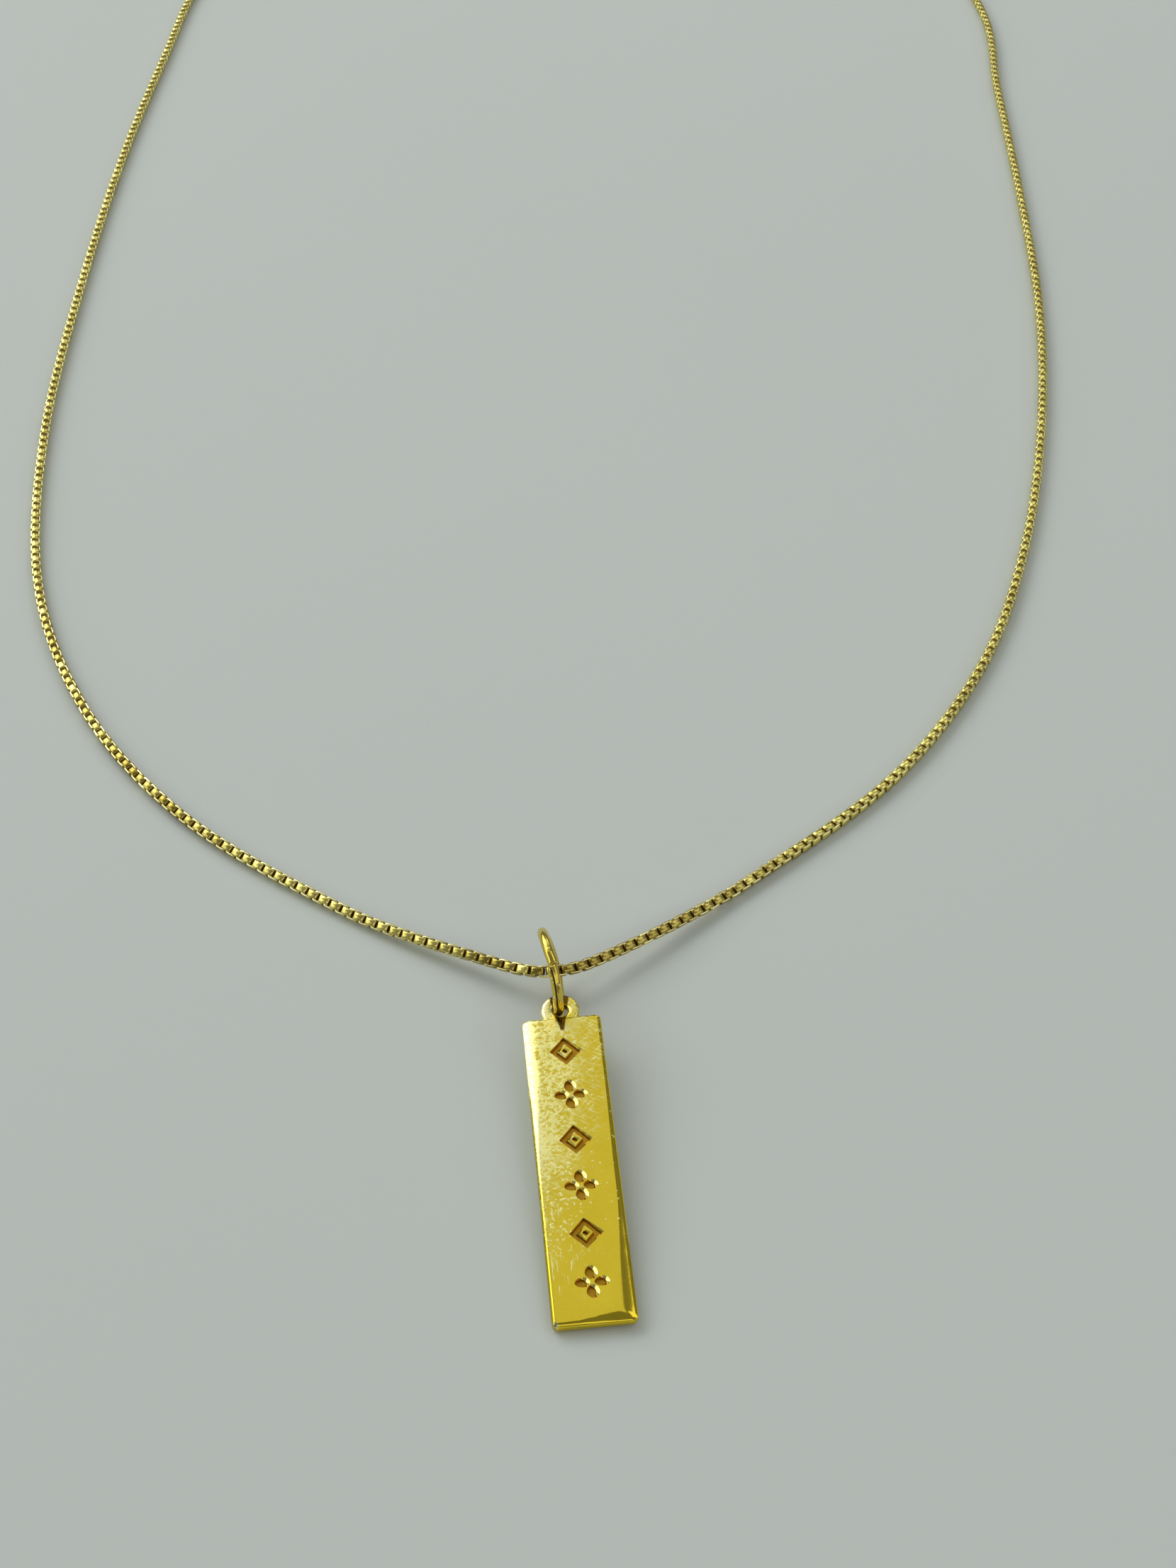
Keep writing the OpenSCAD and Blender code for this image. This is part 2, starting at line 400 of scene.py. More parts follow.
# The solder that fills the corner between the ear and the plate's end
def makeSolder():
    bm = bmesh.new()
    size = Matrix.Diagonal(solder["size"] + (1.0,))
    place = Matrix.Translation((0, plate["length"] + solder["out"], plate["thickness"] / 2))
    bmesh.ops.create_uvsphere(bm, u_segments=40, v_segments=20, radius=0.5, matrix=place @ size)
    return bm


def lozenge(bm, width, height):
    size = Matrix.Diagonal((width, height, 1, 1))
    made = bmesh.ops.create_circle(bm, cap_ends=True, radius=0.5, segments=4, matrix=size)
    return list({face for vertex in made["verts"] for face in vertex.link_faces})


# A pointed leaf at a distance from the origin, in a direction turned from along the plate
def leaf(bm, width, height, distance, degrees):
    radius = (height ** 2 + width ** 2) / (4 * width)
    sweep = 2 * math.asin(height / 2 / radius)
    part = bmesh.new()
    tip = bmesh.ops.create_vert(part, co=(0, -height / 2, 0))["vert"]
    bmesh.ops.spin(
        part, geom=tip, cent=(radius - width / 2, 0, 0), axis=(0, 0, 1), angle=-sweep, steps=10,
    )
    bmesh.ops.mirror(part, geom=part.verts[:] + part.edges[:], axis="X", merge_dist=1e-4)
    bmesh.ops.edgeloop_fill(part, edges=part.edges[:])
    bmesh.ops.translate(part, vec=(0, distance, 0), verts=part.verts)
    bmesh.ops.rotate(part, matrix=Matrix.Rotation(math.radians(degrees), 3, "Z"), verts=part.verts)
    addTo(bm, part)


def addTo(bm, part):
    mesh = bpy.data.meshes.new("part")
    part.to_mesh(mesh)
    part.free()
    bm.from_mesh(mesh)
    bpy.data.meshes.remove(mesh)


# Four leaves round a centre: two along the plate and two across it
def leafCross(bm):
    gap = engraving["leafGap"]
    for degrees in (0, 90, 180, 270):
        size = engraving["height"] if degrees % 180 == 0 else engraving["width"]
        leaf(bm, engraving["leafWidth"], size / 2 - gap, (size / 2 + gap) / 2, degrees)


# A lozenge drawn in one line, with a small lozenge in its middle
def framedLozenge(bm):
    width, height = engraving["width"], engraving["height"]
    outer = lozenge(bm, width, height)
    bmesh.ops.inset_region(
        bm, faces=outer, use_boundary=True, thickness=engraving["stroke"], use_even_offset=True,
    )
    bmesh.ops.delete(bm, geom=outer, context="FACES_ONLY")
    lozenge(bm, width * engraving["coreShare"], height * engraving["coreShare"])


# The closed shapes that are cut out of the plate's front, in turn along it
def makeCutters():
    bm = bmesh.new()
    first = plate["length"] / 2 - (engraving["count"] - 1) * engraving["pitch"] / 2
    for index in range(engraving["count"]):
        motif = bmesh.new()
        if index % 2 == 0:
            leafCross(motif)
        else:
            framedLozenge(motif)
        bmesh.ops.translate(motif, vec=(0, first + index * engraving["pitch"], 0), verts=motif.verts)
        addTo(bm, motif)
    bmesh.ops.translate(bm, vec=(0, 0, plate["thickness"] - cutLevels[0]["below"]), verts=bm.verts)
    floor = bm.verts[:]
    faces = bm.faces[:]
    # The first layer rises from the plain outline, and each later one from a spread outline
    for level, (lower, upper) in enumerate(zip(cutLevels, cutLevels[1:])):
        raised = bmesh.ops.extrude_face_region(bm, geom=faces)["geom"]
        if level > 0:
            bmesh.ops.delete(bm, geom=faces, context="FACES_ONLY")
        verts = [item for item in raised if isinstance(item, bmesh.types.BMVert)]
        faces = [item for item in raised if isinstance(item, bmesh.types.BMFace)]
        bmesh.ops.translate(bm, vec=(0, 0, lower["below"] - upper["below"]), verts=verts)
        bmesh.ops.recalc_face_normals(bm, faces=bm.faces)
        if level == 0:
            spreadOut(bm, floor, lower["spread"], lower["rightSpread"])
            spreadOut(bm, verts, upper["spread"], upper["rightSpread"])
        else:
            more = {name: upper[name] - lower[name] for name in ("spread", "rightSpread")}
            spreadOut(bm, verts, more["spread"], more["rightSpread"])
    bmesh.ops.recalc_face_normals(bm, faces=bm.faces)
    return bm


# Moves vertices sideways, out of the shape that they bound, and further where it faces right
def spreadOut(bm, verts, spread, rightSpread):
    bm.normal_update()
    for vertex in verts:
        outward = Vector((vertex.normal.x, vertex.normal.y, 0)).normalized()
        vertex.co += outward * (spread + rightSpread * max(outward.x, 0.0))


# Polishing has rounded the plate's edges unevenly: each row widens the rounding of one edge, more and more
# between two places along it
wornEdges = [
    {"edge": "right", "from": 19.0, "to": 10.0, "extra": 0.15},
    {"edge": "right", "from": 10.0, "to": 0.0, "extra": 0.85},
    {"edge": "left", "from": 11.5, "to": 22.5, "extra": 0.9},
    {"edge": "near", "from": -1.5, "to": 2.5, "extra": 0.65},
]
wearReach = 2.5  # how far over the front an edge's wear goes, in times its extra width


def wearEdges(bm):
    edge = plate["edge"]
    half = plate["width"] / 2
    for vertex in bm.verts:
        up = (vertex.co.z - plate["thickness"]) / edge + 1
        if up <= 0:
            continue
        start = vertex.co.copy()
        inside = {"right": half - start.x, "left": half + start.x, "near": start.y}
        for row in wornEdges:
            distance = inside[row["edge"]]
            along = start.x if row["edge"] == "near" else start.y
            share = smoothShare(along, row["from"], row["to"])
            inward = 1 - min(max((distance - plate["corner"]) / (wearReach * row["extra"]), 0.0), 1.0)
            shift = row["extra"] * share * inward * (1 - math.sqrt(max(1 - up * up, 0.0)))
            if row["edge"] == "near":
                vertex.co.y += shift
            else:
                vertex.co.x += shift if row["edge"] == "left" else -shift


# 0 at low and 1 at high, and smooth between
def smoothShare(value, low, high):
    share = min(max((value - low) / (high - low), 0.0), 1.0)
    return share * share * (3 - 2 * share)


# Cuts the rounded edges across just past each millimetre, so that they can bend
def cutRounding(bm, normal, end):
    for step in range(-end, end + 1):
        rounding = [face for face in bm.faces if abs(face.normal.z) < 0.999]
        edges = list({edge for face in rounding for edge in face.edges})
        verts = list({vertex for face in rounding for vertex in face.verts})
        place = Vector(normal) * (step + 0.03)
        bmesh.ops.bisect_plane(bm, geom=rounding + edges + verts, plane_co=place, plane_no=normal)


def makePlate(finishes):
    bm = makeSlab()
    cutRounding(bm, (0, 1, 0), int(plate["length"]))
    cutRounding(bm, (1, 0, 0), int(plate["width"] / 2))
    wearEdges(bm)
    bm = combine(bm, makeCutters(), "DIFFERENCE")
    bm = combine(bm, makeEar(), "UNION")
    bm = combine(bm, makeSolder(), "UNION")
    # Faces of the cuts: the floors and lower walls get a finish of painted shade, and the rims are marked
    # for a painted highlight
    rim = bm.faces.layers.float.new("cutRimHighlight")
    for face in bm.faces:
        middle = face.calc_center_median()
        below = plate["thickness"] - middle.z
        engraved = abs(middle.x) < 0.65 * engraving["width"] and 1 < middle.y < plate["length"] - 1
        face.material_index = int(engraved and engraving["rimDepth"] < below < cutLevels[0]["below"] + 0.01)
        face[rim] = float(engraved and 0.01 < below < engraving["rimDepth"])
    bmesh.ops.transform(bm, matrix=platePlace(), verts=bm.verts)
    piece = finishPiece("engraved_plate", bm, finishes, sharpAngle=28.0)
    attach(piece, "root")
    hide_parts("plate")
    print("Plate made:", len(piece.data.polygons), "faces")


# Chain: links of flat strip, each turned a quarter from the last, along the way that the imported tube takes
chain = {
    "pitch": 0.532,  # from link to link
    "length": 0.98,  # of one link, outside
    "width": 0.83,
    "strip": 0.53,  # width of the strip
    "stock": 0.13,  # thickness of the strip
    "bend": 0.2,  # radius that the strip is bent to
    "chamfer": 0.045,  # of the strip's outer edges
    "endLength": 1.1,  # of the links at the clasp
    "endReach": 0.37,  # from each end of the chain's way to the middle of its last link
    "eyeGap": 0.15,  # from the clasp's eye to the end of the chain's way
    "lay": 0.4,  # height of its middle on the surface
    "samples": 60,  # short lines between two points of its way
    "jitter": 2.5,  # degrees that a link sits askew
    "toneSpread": 0.45,  # how much the links differ in brightness by chance
    "sparkleShare": 0.12,  # share of the links painted bright, a painted sparkle
    "seed": 11,
}
# Clasp: where it lies, the outside widths of its ring and its two eyes, and how thick they are
clasp = {"centre": (1.5, 114.4, 0.55), "ring": 5.5, "stock": 1.1, "eye": 1.9, "eyeWire": 0.36}
# The chain's way over the surface: from the clasp down the left side to the ring, and up the right side
leftWay = [
    (-23, 107.5), (-38.5, 92.5), (-44.5, 74), (-46.5, 53), (-48, 30), (-48.5, 5), (-48, -20), (-45, -42),
    (-38.5, -58.5), (-29, -71), (-16.5, -80.5),
]
rightWay = [
    (14.5, -77.5), (26, -66.5), (34.5, -53), (40, -37.5), (44, -19), (46.5, 1), (47.5, 23), (48, 46),
    (48.5, 66), (43, 90), (26.5, 107.5),
]
besideRing = {"left": (-6, -86.2, 1.2), "right": (5, -85.2, 1.3)}  # where it rises to the ring
endAims = {"left": (6, 114.2), "right": (-3, 114.2)}  # where its two ends point to, behind the clasp
# Degrees that the chain is twisted by, at a distance from the ring along it, to the left negative
twists = [
    (-250.0, 0.0), (-150.0, 0.0), (-100.0, -10.0), (-80.0, -5.0), (-50.0, 14.0), (-25.0, 32.0), (-8.0, 42.0),
    (0.0, 33.0), (9.0, 38.0), (14.0, 30.0), (20.0, 24.0), (24.5, 0.0), (29.0, 2.0), (70.0, 2.0),
    (120.0, 10.0), (250.0, 0.0),
]
# Painted light along the chain: how bright its links are painted at such a distance, darker beside the ring
# and paler in some stretches, where light falls differently
paintedLinkLight = [
    (-300.0, 0.5), (-80.0, 0.5), (-50.0, 0.0), (-34.0, 0.0), (-22.0, 0.65), (-11.0, 0.65), (-4.0, 0.0),
    (8.0, 0.0), (30.0, 0.55), (300.0, 0.55),
]


def wayPoints():
    centre = Vector(clasp["centre"])
    eyeEdge = clasp["ring"] / 2 + clasp["eye"] - clasp["eyeWire"] * 3 / 4
    toEnd = Vector((eyeEdge + chain["eyeGap"], 0, 0))
    crossing = onRing(-ring["chainAt"], ring["chainRadius"])
    lefts = [(*point, chain["lay"]) for point in leftWay]
    rights = [(*point, chain["lay"]) for point in rightWay]
    return [Vector(point) for point in (
        (*endAims["left"], centre.z), centre - toEnd, *lefts, besideRing["left"],
        crossing,
        besideRing["right"], *rights, centre + toEnd, (*endAims["right"], centre.z),
    )]


# The smooth curve between b and c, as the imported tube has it
def curvePoint(a, b, c, d, t):
    point = 0.5 * (
        2 * b + (c - a) * t + (2 * a - 5 * b + 4 * c - d) * t ** 2 + (3 * b - a - 3 * c + d) * t ** 3
    )
    point.z = max(point.z, chain["lay"])
    return point


# Even steps along the chain: each place with its direction and its distance from the ring
def chainSteps():
    points = wayPoints()
    crossing = points.index(onRing(-ring["chainAt"], ring["chainRadius"]))
    line = [
        curvePoint(*points[start:start + 4], step / chain["samples"])
        for start in range(len(points) - 3) for step in range(chain["samples"])
    ]
    line.append(points[-2])
    along = [0.0]
    for before, after in zip(line, line[1:]):
        along.append(along[-1] + (after - before).length)
    atRing = along[(crossing - 1) * chain["samples"]]
    start = -chain["endReach"]
    end = along[-1] + chain["endReach"]
    count = round((end - start) / chain["pitch"])
    count += count % 2  # even, so that both end links stand upright in the clasp's eyes
    steps = []
    position = 0
    for index in range(count + 1):
        wanted = start + (end - start) * index / count
        while position < len(line) - 2 and along[position + 1] < wanted:
            position += 1
        before, after = line[position], line[position + 1]
        share = (wanted - along[position]) / (along[position + 1] - along[position])
        steps.append((before.lerp(after, share), (after - before).normalized(), wanted - atRing))
    return steps


# The value that a table of places and values gives between two of its places
def tableValue(table, distance):
    for (start, low), (end, high) in zip(table, table[1:]):
        if start <= distance <= end:
            return low + (high - low) * smoothShare(distance, start, end)
    return table[0][1]


# How far a face of a link points away from the link's middle, and whether it lies on the rim of the strip
def outwardness(face):
    return face.normal.xy.dot(face.calc_center_median().xy)


def onRim(face):
    return abs(face.normal.z) > 0.9


# One link: a box bent from strip, open above and below, with its outer edges chamfered
def makeLink(length):
    bm = bmesh.new()
    bmesh.ops.create_cube(bm, size=1)
    bmesh.ops.scale(bm, vec=(length, chain["width"], chain["strip"]), verts=bm.verts)
    bevelEdges(bm, uprightEdges(bm, chain["strip"] / 2), chain["bend"], 2)
    bmesh.ops.delete(bm, geom=[face for face in bm.faces if onRim(face)], context="FACES_ONLY")
    bmesh.ops.solidify(bm, geom=bm.faces[:], thickness=chain["stock"])
    bmesh.ops.recalc_face_normals(bm, faces=bm.faces)
    outerEdges = [
        edge for edge in bm.edges
        if any(onRim(face) for face in edge.link_faces)
        and any(outwardness(face) > 0.01 for face in edge.link_faces)
    ]
    bevelEdges(bm, outerEdges, chain["chamfer"], 1)
    # The chain's finishes in turn: polished sides, insides and ends painted dark as shade, and rims painted
    # pale as highlights
    for face in bm.faces:
        inShade = outwardness(face) < -0.01 or abs(face.normal.x) > 0.85
        face.material_index = 2 if onRim(face) else int(inShade)
    mesh = bpy.data.meshes.new("link")
    bm.to_mesh(mesh)
    bm.free()
    return mesh


def makeChain(finishes):
    chance = random.Random(chain["seed"])
    plain = makeLink(chain["length"])
    long = makeLink(chain["endLength"])
    steps = chainSteps()
    corner = Vector((chain["width"] / 2, chain["strip"] / 2))
    bm = bmesh.new()
    tone = bm.faces.layers.float.new("linkToneAndLight")
    for index, (middle, heading, distance) in enumerate(steps):
        twist = math.radians(tableValue(twists, distance) + chance.uniform(-1, 1) * chain["jitter"])
        # Its lowest corner stays on the surface or above it
        quarter = abs(twist) % (math.pi / 2)
        reach = max(corner.x * math.cos(quarter) + corner.y * math.sin(quarter),
                    corner.y * math.cos(quarter) + corner.x * math.sin(quarter))
        middle.z = max(middle.z, reach)
        across = Vector((0, 0, 1)).cross(heading).normalized()
        up = heading.cross(across)
        standing = Matrix((heading, across, up)).transposed().to_4x4()
        roll = twist + (index + 1) % 2 * math.pi / 2
        askew = Matrix.Rotation(math.radians(chance.uniform(-1, 1) * chain["jitter"]), 4, "Z")
        place = Matrix.Translation(middle) @ standing @ Matrix.Rotation(roll, 4, "X") @ askew
        mesh = (long if index in (0, len(steps) - 1) else plain).copy()
        mesh.transform(place)
        before = len(bm.faces)
        bm.from_mesh(mesh)
        bpy.data.meshes.remove(mesh)
        bm.faces.ensure_lookup_table()
        # Each link's tone: chance, plus painted light and shade by its distance from the ring, or a painted
        # sparkle
        shade = chain["toneSpread"] * chance.random() + tableValue(paintedLinkLight, distance)
        if chance.random() < chain["sparkleShare"]:
            shade = 1.0
        for face in bm.faces[before:]:
            face[tone] = shade
    piece = finishPiece("chain_links", bm, finishes)
    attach(piece, "root")
    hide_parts("chain")
    print("Chain made:", len(steps), "links,", len(piece.data.polygons), "faces")


# One plain closed ring with an eye on each side for the chain's end links
def makeClasp(finish):
    bm = bmesh.new()
    centre = Vector(clasp["centre"])
    eyeRadius = (clasp["eye"] - clasp["eyeWire"]) / 2
    eyeOut = clasp["ring"] / 2 + eyeRadius - clasp["eyeWire"] / 4
    ringRadius = (clasp["ring"] - clasp["stock"]) / 2
    addHoop(bm, centre, ringRadius, clasp["stock"] / 2, steps=64, sides=18)
    for side in (-1, 1):
        eyeCentre = centre + Vector((side * eyeOut, 0, 0))
        addHoop(bm, eyeCentre, eyeRadius, clasp["eyeWire"] / 2, steps=40, sides=12)
    piece = finishPiece("closed_clasp", bm, [finish])
    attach(piece, "root")
    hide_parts("clasp")
    print("Clasp made")


def addHoop(bm, centre, radius, stockRadius, steps, sides):
    part = bmesh.new()
    upright = Matrix.Translation((radius, 0, 0)) @ Matrix.Rotation(math.pi / 2, 4, "X")
    bmesh.ops.create_circle(part, radius=stockRadius, segments=sides, matrix=upright)
    bmesh.ops.spin(
        part, geom=part.verts[:] + part.edges[:], axis=(0, 0, 1), cent=(0, 0, 0), angle=2 * math.pi,
        steps=steps, use_merge=True,
    )
    bmesh.ops.translate(part, vec=centre, verts=part.verts)
    addTo(bm, part)


# Finishes: the deeper and the paler tone of each gold
golds = {
    "polished_gold": ((0.78, 0.57, 0.03), (0.97, 0.74, 0.06)),
    # engraved_gold: darker brown, painted shade in the cuts
    "engraved_gold": ((0.36, 0.18, 0.012), (0.60, 0.33, 0.03)),
    "ring_gold": ((0.72, 0.54, 0.08), (0.84, 0.65, 0.12)),
    "chain_gold": ((0.38, 0.28, 0.05), (1.0, 0.86, 0.24)),
    # chain_rim_highlight: the strip's rims painted paler than its sides, as highlights
    "chain_rim_highlight": ((0.76, 0.64, 0.24), (1.0, 0.92, 0.50)),
    # chain_recess_shade: painted shade for the insides and ends of the links
    "chain_recess_shade": ((0.24, 0.15, 0.02), (0.38, 0.25, 0.05)),
    "clasp_gold": ((0.82, 0.64, 0.18), (0.90, 0.72, 0.24)),
}
# Tones painted over the gold: worn and rubbed places painted paler as sparkle, and painted highlights, shade
# and reflections
markTones = {
    # scuffSparkle: wear painted paler, a painted sparkle
    "scuffSparkle": (1.0, 0.92, 0.34),
    # cutRimHighlight: painted highlight on the rims of the cuts
    "cutRimHighlight": (1.0, 0.89, 0.30),
    # edge: painted highlight on the left edge, the ear's edge and the near corner
    "edge": (0.96, 0.89, 0.44),
    # outerShadeLine: painted shade along the left side
    "outerShadeLine": (0.42, 0.34, 0.02),
    # wireReflection: painted dark reflection of the ring's wire
    "wireReflection": (0.16, 0.09, 0.01),
    # wireGlint: rubbed spots painted pale as highlights
    "wireGlint": (1.0, 0.94, 0.50),
    # wireDarkReflection: painted dark reflection line along the ring
    "wireDarkReflection": (0.07, 0.05, 0.01),
}
# Marks on the plate. A pair of numbers says where a mark begins and where it is full, in mm: across from
# the plate's middle to the right, along from its near end, past from its far end, upLeft for along less
# twice across, and round from a point. A pair of levels says the same of the noise that a mark comes from.
rubs = {
    "past": (0.1, -0.3),
    "across": (2.8, -0.8),
    "upLeft": (13.0, 23.0),
    "levels": (0.42, 0.68),
    "denserAcross": (1.5, -2.0),
}
scratches = {
    "width": 0.15,  # of one of them, in mm
    "length": 0.8,
    "upLeft": (10.0, 18.0),
    "spread": 0.2,  # of the levels between its side and its middle
}
dents = {"across": (0.6, -1.2), "along": (3.0, 9.0), "levels": (0.63, 0.72), "deepLevels": (0.76, 0.84)}
strokes = {"across": (0.3, -1.2), "along": (1.0, 3.0), "alongEnd": (12.0, 7.0)}
earRubs = {
    "foot": (0.15, plate["length"], plate["thickness"]),
    "round": (2.2, 1.4),
    "levels": (0.5, 0.6),
    "cleanRound": (0.4, 0.8),  # nothing is rubbed within this, where the front mirrors the ring's wire
}
# Where the painted highlights on the edges lie
edgeHighlights = {
    "leftAcross": (-1.9, -2.35),
    "leftAlong": (11.0, 17.0),
    "earAcross": (-0.4, -0.75),
    "earPast": (-0.1, 0.1),
    "corner": (-2.6, 0.15, 0.7),
    "cornerRound": (0.35, 0.2),
}
# A darker line outside the left edge, in two stretches: painted shade of the plate's side. Where it ends it
# wavers with the grain.
outerShadeLines = [
    {"across": (-2.52, -2.66), "along": (20.0, 16.0), "waver": 1.0},
    {"across": (-2.42, -2.54), "along": (12.0, 7.0), "waver": 0.0},
]
# A painted reflection of the wire: a dark mark under it, from the hole down to the front, where it tapers
wireReflection = {"across": (0.42, 0.3), "past": (-1.3, -1.1), "taper": 0.2}


# Place on the plate in millimetres, and its two parts: across from the middle and along from the near end
def platePosition(finish):
    place = platePlace()
    local = finish.coordinates(tuple(place.translation * metresPerMm), tuple(place.to_euler()))
    across, along = [
        finish.node("ShaderNodeSeparateXYZ", None, {"Vector": local}, output=axis) for axis in ("X", "Y")
    ]
    return local, across, along


def polishedGold():
    finish = Finish("polished_gold")
    local, across, along = platePosition(finish)
    past = along - plate["length"]
    upLeft = along - 2.0 * across
    clouds = finish.noise(local, 0.5, 3.0)
    grain = finish.noise(local, 7.0, 2.0)
    mottle = finish.noise(local, 4.2, 2.0)
    waves = finish.noise(local, 0.45, 1.0)
    # Rubbed dull in fine patches at the far end, most of all on the left, and round the ear; the patches are
    # also painted paler as sparkle
    rubbed = finish.step(past, *rubs["past"]) * finish.step(across, *rubs["across"])
    rubbed = rubbed * finish.step(upLeft + 6.0 * clouds, *rubs["upLeft"])
    denser = mottle + 0.06 * finish.step(across, *rubs["denserAcross"])
    patched = finish.step(denser, *rubs["levels"]) * rubbed
    toEar = finish.distance(local, earRubs["foot"])
    earPatch = finish.step(toEar + 0.9 * clouds, *earRubs["round"])
    earPatch = earPatch * (0.3 + 0.7 * finish.step(mottle, *earRubs["levels"]))
    clean = finish.step(toEar, *earRubs["cleanRound"])
    # Crossing scratches below them
    hairs = scratchLines(finish, degrees=-31.0, level=0.50) + scratchLines(finish, degrees=38.0, level=0.54)
    scratched = hairs * finish.step(upLeft + 4.0 * clouds, *scratches["upLeft"]) * (0.3 + 0.7 * clouds)
    # Small dents on the left, a few elsewhere, and short strokes along the plate near its near end, all
    # painted bright as sparkle
    bumps = finish.noise(local, 4.4, 0.0)
    dots = finish.step(bumps, *dents["levels"]) * finish.step(across, *dents["across"])
    dots = (dots + 0.8 * finish.step(bumps, *dents["deepLevels"])) * finish.step(along, *dents["along"])
    stretch = finish.step(along, *strokes["along"]) * finish.step(along, *strokes["alongEnd"])
    lines = scratchLines(finish, degrees=90.0, level=0.58) * finish.step(across, *strokes["across"])
    dented = dots + 0.6 * lines * stretch
    # Real wear in roughness and relief, and a painted sparkle in the colour
    wornSparkle = finish.limit(patched + scratched + 2.0 * dented + earPatch) * clean
    # Painted highlights: the worn left edge, the ear's left edge, the near left corner and the rims of the
    # cuts are painted paler
    leftEdgeHighlight = finish.step(across, *edgeHighlights["leftAcross"])
    leftEdgeHighlight = leftEdgeHighlight * finish.step(along + 3.0 * grain, *edgeHighlights["leftAlong"])
    middleLine, nearLine = [
        finish.step(across, *line["across"]) * finish.step(along + line["waver"] * grain, *line["along"])
        for line in outerShadeLines
    ]
    outerShadeLine = finish.limit(middleLine + nearLine)
    earEdge = finish.step(across, *edgeHighlights["earAcross"]) * finish.step(past, *edgeHighlights["earPast"])
    corner = finish.step(finish.distance(local, edgeHighlights["corner"]), *edgeHighlights["cornerRound"])
    # All the painted edge highlights together
    edge = finish.limit(leftEdgeHighlight * (1.0 - outerShadeLine) + earEdge + corner)
    # The rims of the cuts are painted paler, as a highlight
    rim = finish.attribute("cutRimHighlight")
    fromWire = finish.node("ShaderNodeMath", {"operation": "ABSOLUTE"}, {0: across})
    mark = finish.step(fromWire - wireReflection["taper"] * past, *wireReflection["across"])
    mark = mark * finish.step(past, *wireReflection["past"])
    colour = finish.blend(0.7 * clouds + 0.3 * mottle, *golds["polished_gold"])
    for share, tone in (
        (wornSparkle, "scuffSparkle"), (rim, "cutRimHighlight"), (edge, "edge"), (outerShadeLine * 0.7, "outerShadeLine"), (mark, "wireReflection"),
    ):
        colour = finish.blend(share, colour, markTones[tone])
    finish.set(Metallic=1.0, Base_Color=colour, Roughness=0.08 + 0.05 * clouds + 0.28 * wornSparkle + 0.08 * edge)
    rough = mottle * rubbed * 0.24 + scratched * 0.07 + dented * 0.05
    finish.relief((rough + grain * 0.02) * (1.0 - edge) * (1.0 - rim) * clean + waves * 0.3, 0.05)
    return finish


# Fine scratches in one direction across the plate: 1 on a scratch, and 0 beside it
def scratchLines(finish, degrees, level):
    place = platePlace()
    turned = place.to_3x3() @ Matrix.Rotation(math.radians(degrees), 3, "Z")
    size = (scratches["length"], scratches["width"], 1.0)
    local = finish.coordinates(tuple(place.translation * metresPerMm), tuple(turned.to_euler()), size)
    lines = finish.noise(local, 1.0, 1.0)
    return finish.step(lines, level, level + scratches["spread"])


# The floors and lower walls of the cuts, painted brown as shade
def engravedShadeGold():
    finish = Finish("engraved_gold")
    local = finish.coordinates()
    grain = finish.noise(local, 4.0, 2.0)
    finish.set(
        Metallic=1.0,
        Base_Color=finish.blend(grain, *golds["engraved_gold"]),
        Roughness=0.30 + 0.1 * grain,
    )
    finish.relief(grain, 0.01)
    return finish


# Drawn wire with small dents and rubbed spots painted pale as glints, and a painted dark reflection line
# along it
def wireGold(name):
    finish = Finish(name)
    local = finish.coordinates()
    waves = finish.noise(local, 1.6, 2.0)
    grain = finish.noise(local, 14.0, 2.0)
    # Spots painted pale as glints, with real dents in the relief
    glintSpots = finish.step(finish.noise(local, 4.2, 0.0), 0.68, 0.84)
    # A painted dark reflection line along the wire
    line = finish.step(finish.attribute("wireDarkReflection") + 0.3 * grain, 0.6, 0.8)
    colour = finish.blend(glintSpots, finish.blend(waves, *golds[name]), markTones["wireGlint"])
    finish.set(
        Metallic=1.0,
        Base_Color=finish.blend(line, colour, markTones["wireDarkReflection"]),
        Roughness=0.10 + 0.10 * grain + 0.3 * line + 0.2 * glintSpots,
    )
    finish.relief(waves * 0.9 + grain * 0.1 + glintSpots * 0.4 - line * 0.5, 0.03)
    return finish


# Polished strip, paler or darker link by link: by chance, by painted light along the chain, and by painted
# sparkle
def chainGold(name):
    finish = Finish(name)
    local = finish.coordinates()
    tone = finish.attribute("linkToneAndLight")
    grain = finish.noise(local, 6.0, 2.0)
    finish.set(
        Metallic=1.0,
        Base_Color=finish.blend(tone, *golds[name]),
        Roughness=0.15 + 0.12 * grain + 0.05 * tone,
    )
    finish.relief(grain, 0.01)
    return finish


# Inside the links and on their ends: painted shade, darker and rougher than the polished sides
def recessShadeGold():
    finish = Finish("chain_recess_shade")
    local = finish.coordinates()
    grain = finish.noise(local, 6.0, 2.0)
    finish.set(
        Metallic=1.0,
        Base_Color=finish.blend(grain, *golds["chain_recess_shade"]),
        Roughness=0.35 + 0.15 * grain,
    )
    return finish


# Floor and light
studio = {
    "floorSize": 3.0,  # metres
    "floorTone": (0.68, 0.725, 0.69),
    "floorClouds": 0.97,  # how dark its faint clouds are beside the rest
    "floorDrop": 0.00002,  # metres that it lies below the necklace
    "ambientTone": (0.96, 1.0, 0.97),
    "ambient": 0.2,
}
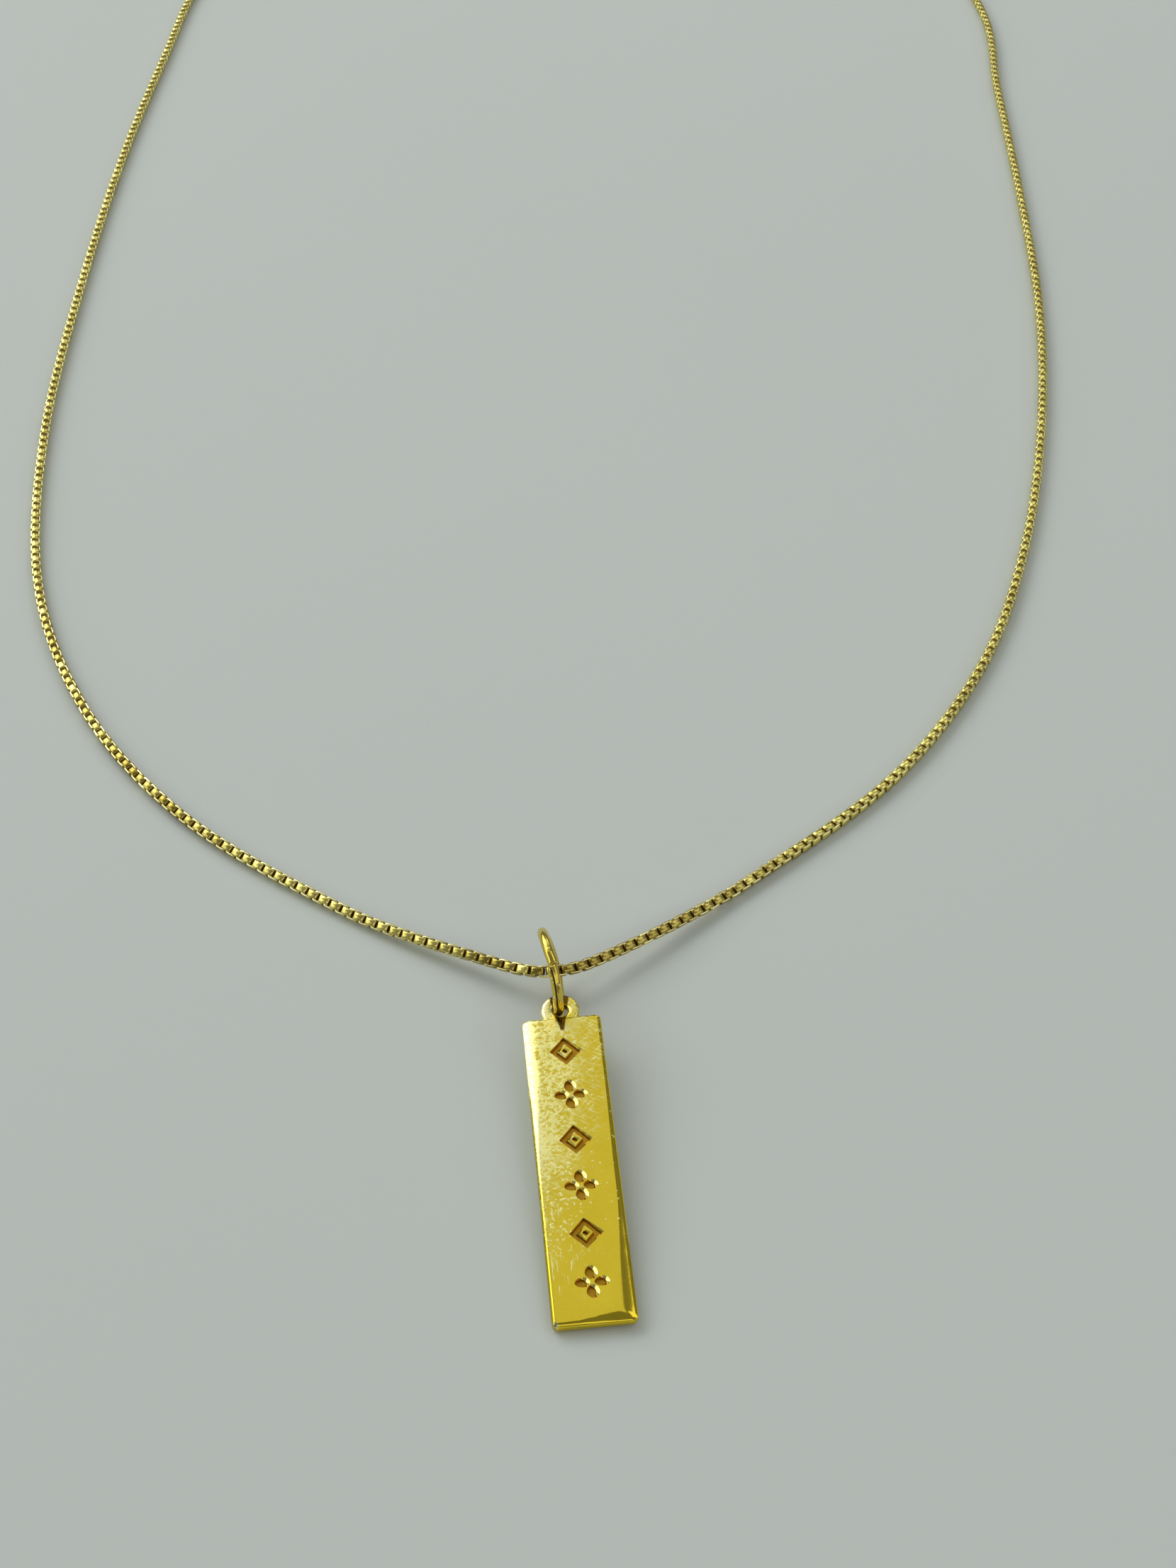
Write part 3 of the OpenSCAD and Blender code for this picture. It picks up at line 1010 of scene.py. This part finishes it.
# Light panels round the necklace, each with its place, the point that it faces and its size in metres
panels = [
    {"name": "ceiling", "place": (-1.3, 1.05, 1.5), "faces": (-1.3, 1.05, 0.0), "size": (3.0, 1.6),
     "watts": 6.8, "tone": (0.97, 1.0, 0.97)},
    {"name": "far right", "place": (0.55, 2.1, 1.5), "faces": (0.55, 2.1, 0.0), "size": (1.0, 1.1),
     "watts": 5.2, "tone": (0.97, 1.0, 0.97)},
    {"name": "upper right", "place": (0.7, 0.2, 1.2), "faces": (0.0, -0.09, 0.0), "size": (0.7, 0.7),
     "watts": 1.4, "tone": (1.0, 1.0, 1.0)},
    {"name": "window", "place": (-0.83, 0.84, 0.84), "faces": (0.0, -0.09, 0.0), "size": (1.05, 0.95),
     "watts": 8.2, "tone": (1.0, 1.0, 1.0)},
    {"name": "wall", "place": (-1.45, -0.05, 0.68), "faces": (0.0, -0.09, 0.0), "size": (1.3, 1.0),
     "watts": 4.4, "tone": (0.96, 1.0, 1.0)},
    {"name": "front", "place": (0.31, -1.26, 0.88), "faces": (0.0, -0.09, 0.0), "size": (1.4, 0.75),
     "watts": 2.1, "tone": (1.0, 0.98, 0.95)},
    {"name": "right", "place": (1.23, -0.49, 0.75), "faces": (0.0, -0.09, 0.0), "size": (1.2, 0.8),
     "watts": 1.8, "tone": (1.0, 1.0, 1.0)},
]


def makeFloor():
    finish = Finish("pale_floor")
    local = finish.coordinates()
    clouds = finish.noise(local, 0.01, 2.0)
    darker = tuple(part * studio["floorClouds"] for part in studio["floorTone"])
    finish.set(Base_Color=finish.blend(clouds, darker, studio["floorTone"]), Roughness=0.9)
    bm = bmesh.new()
    bmesh.ops.create_grid(bm, x_segments=8, y_segments=8, size=studio["floorSize"] / 2)
    bmesh.ops.translate(bm, vec=(0, 0, -studio["floorDrop"]), verts=bm.verts)
    mesh = bpy.data.meshes.new("floor")
    bm.to_mesh(mesh)
    bm.free()
    mesh.materials.append(finish.material)
    floor = bpy.data.objects.new("floor", mesh)
    bpy.context.scene.collection.objects.link(floor)


def makeLights():
    world = bpy.data.worlds.new("soft_room")
    world.use_nodes = True
    background = world.node_tree.nodes["Background"]
    background.inputs["Color"].default_value = studio["ambientTone"] + (1.0,)
    background.inputs["Strength"].default_value = studio["ambient"]
    bpy.context.scene.world = world
    for panel in panels:
        away = Vector(panel["place"]) - Vector(panel["faces"])
        data = bpy.data.lights.new(panel["name"], "AREA")
        data.shape = "RECTANGLE"
        data.size, data.size_y = panel["size"]
        data.energy = panel["watts"]
        data.color = panel["tone"]
        light = bpy.data.objects.new(panel["name"], data)
        light.location = panel["place"]
        light.rotation_euler = away.to_track_quat("Z", "Y").to_euler()
        bpy.context.scene.collection.objects.link(light)
    print("Floor and lights set")


placeCamera()
makeFloor()
makeLights()
makePlate([polishedGold(), engravedShadeGold()])
makeRing(wireGold("ring_gold"))
makeChain([chainGold("chain_gold"), recessShadeGold(), chainGold("chain_rim_highlight")])
makeClasp(wireGold("clasp_gold"))
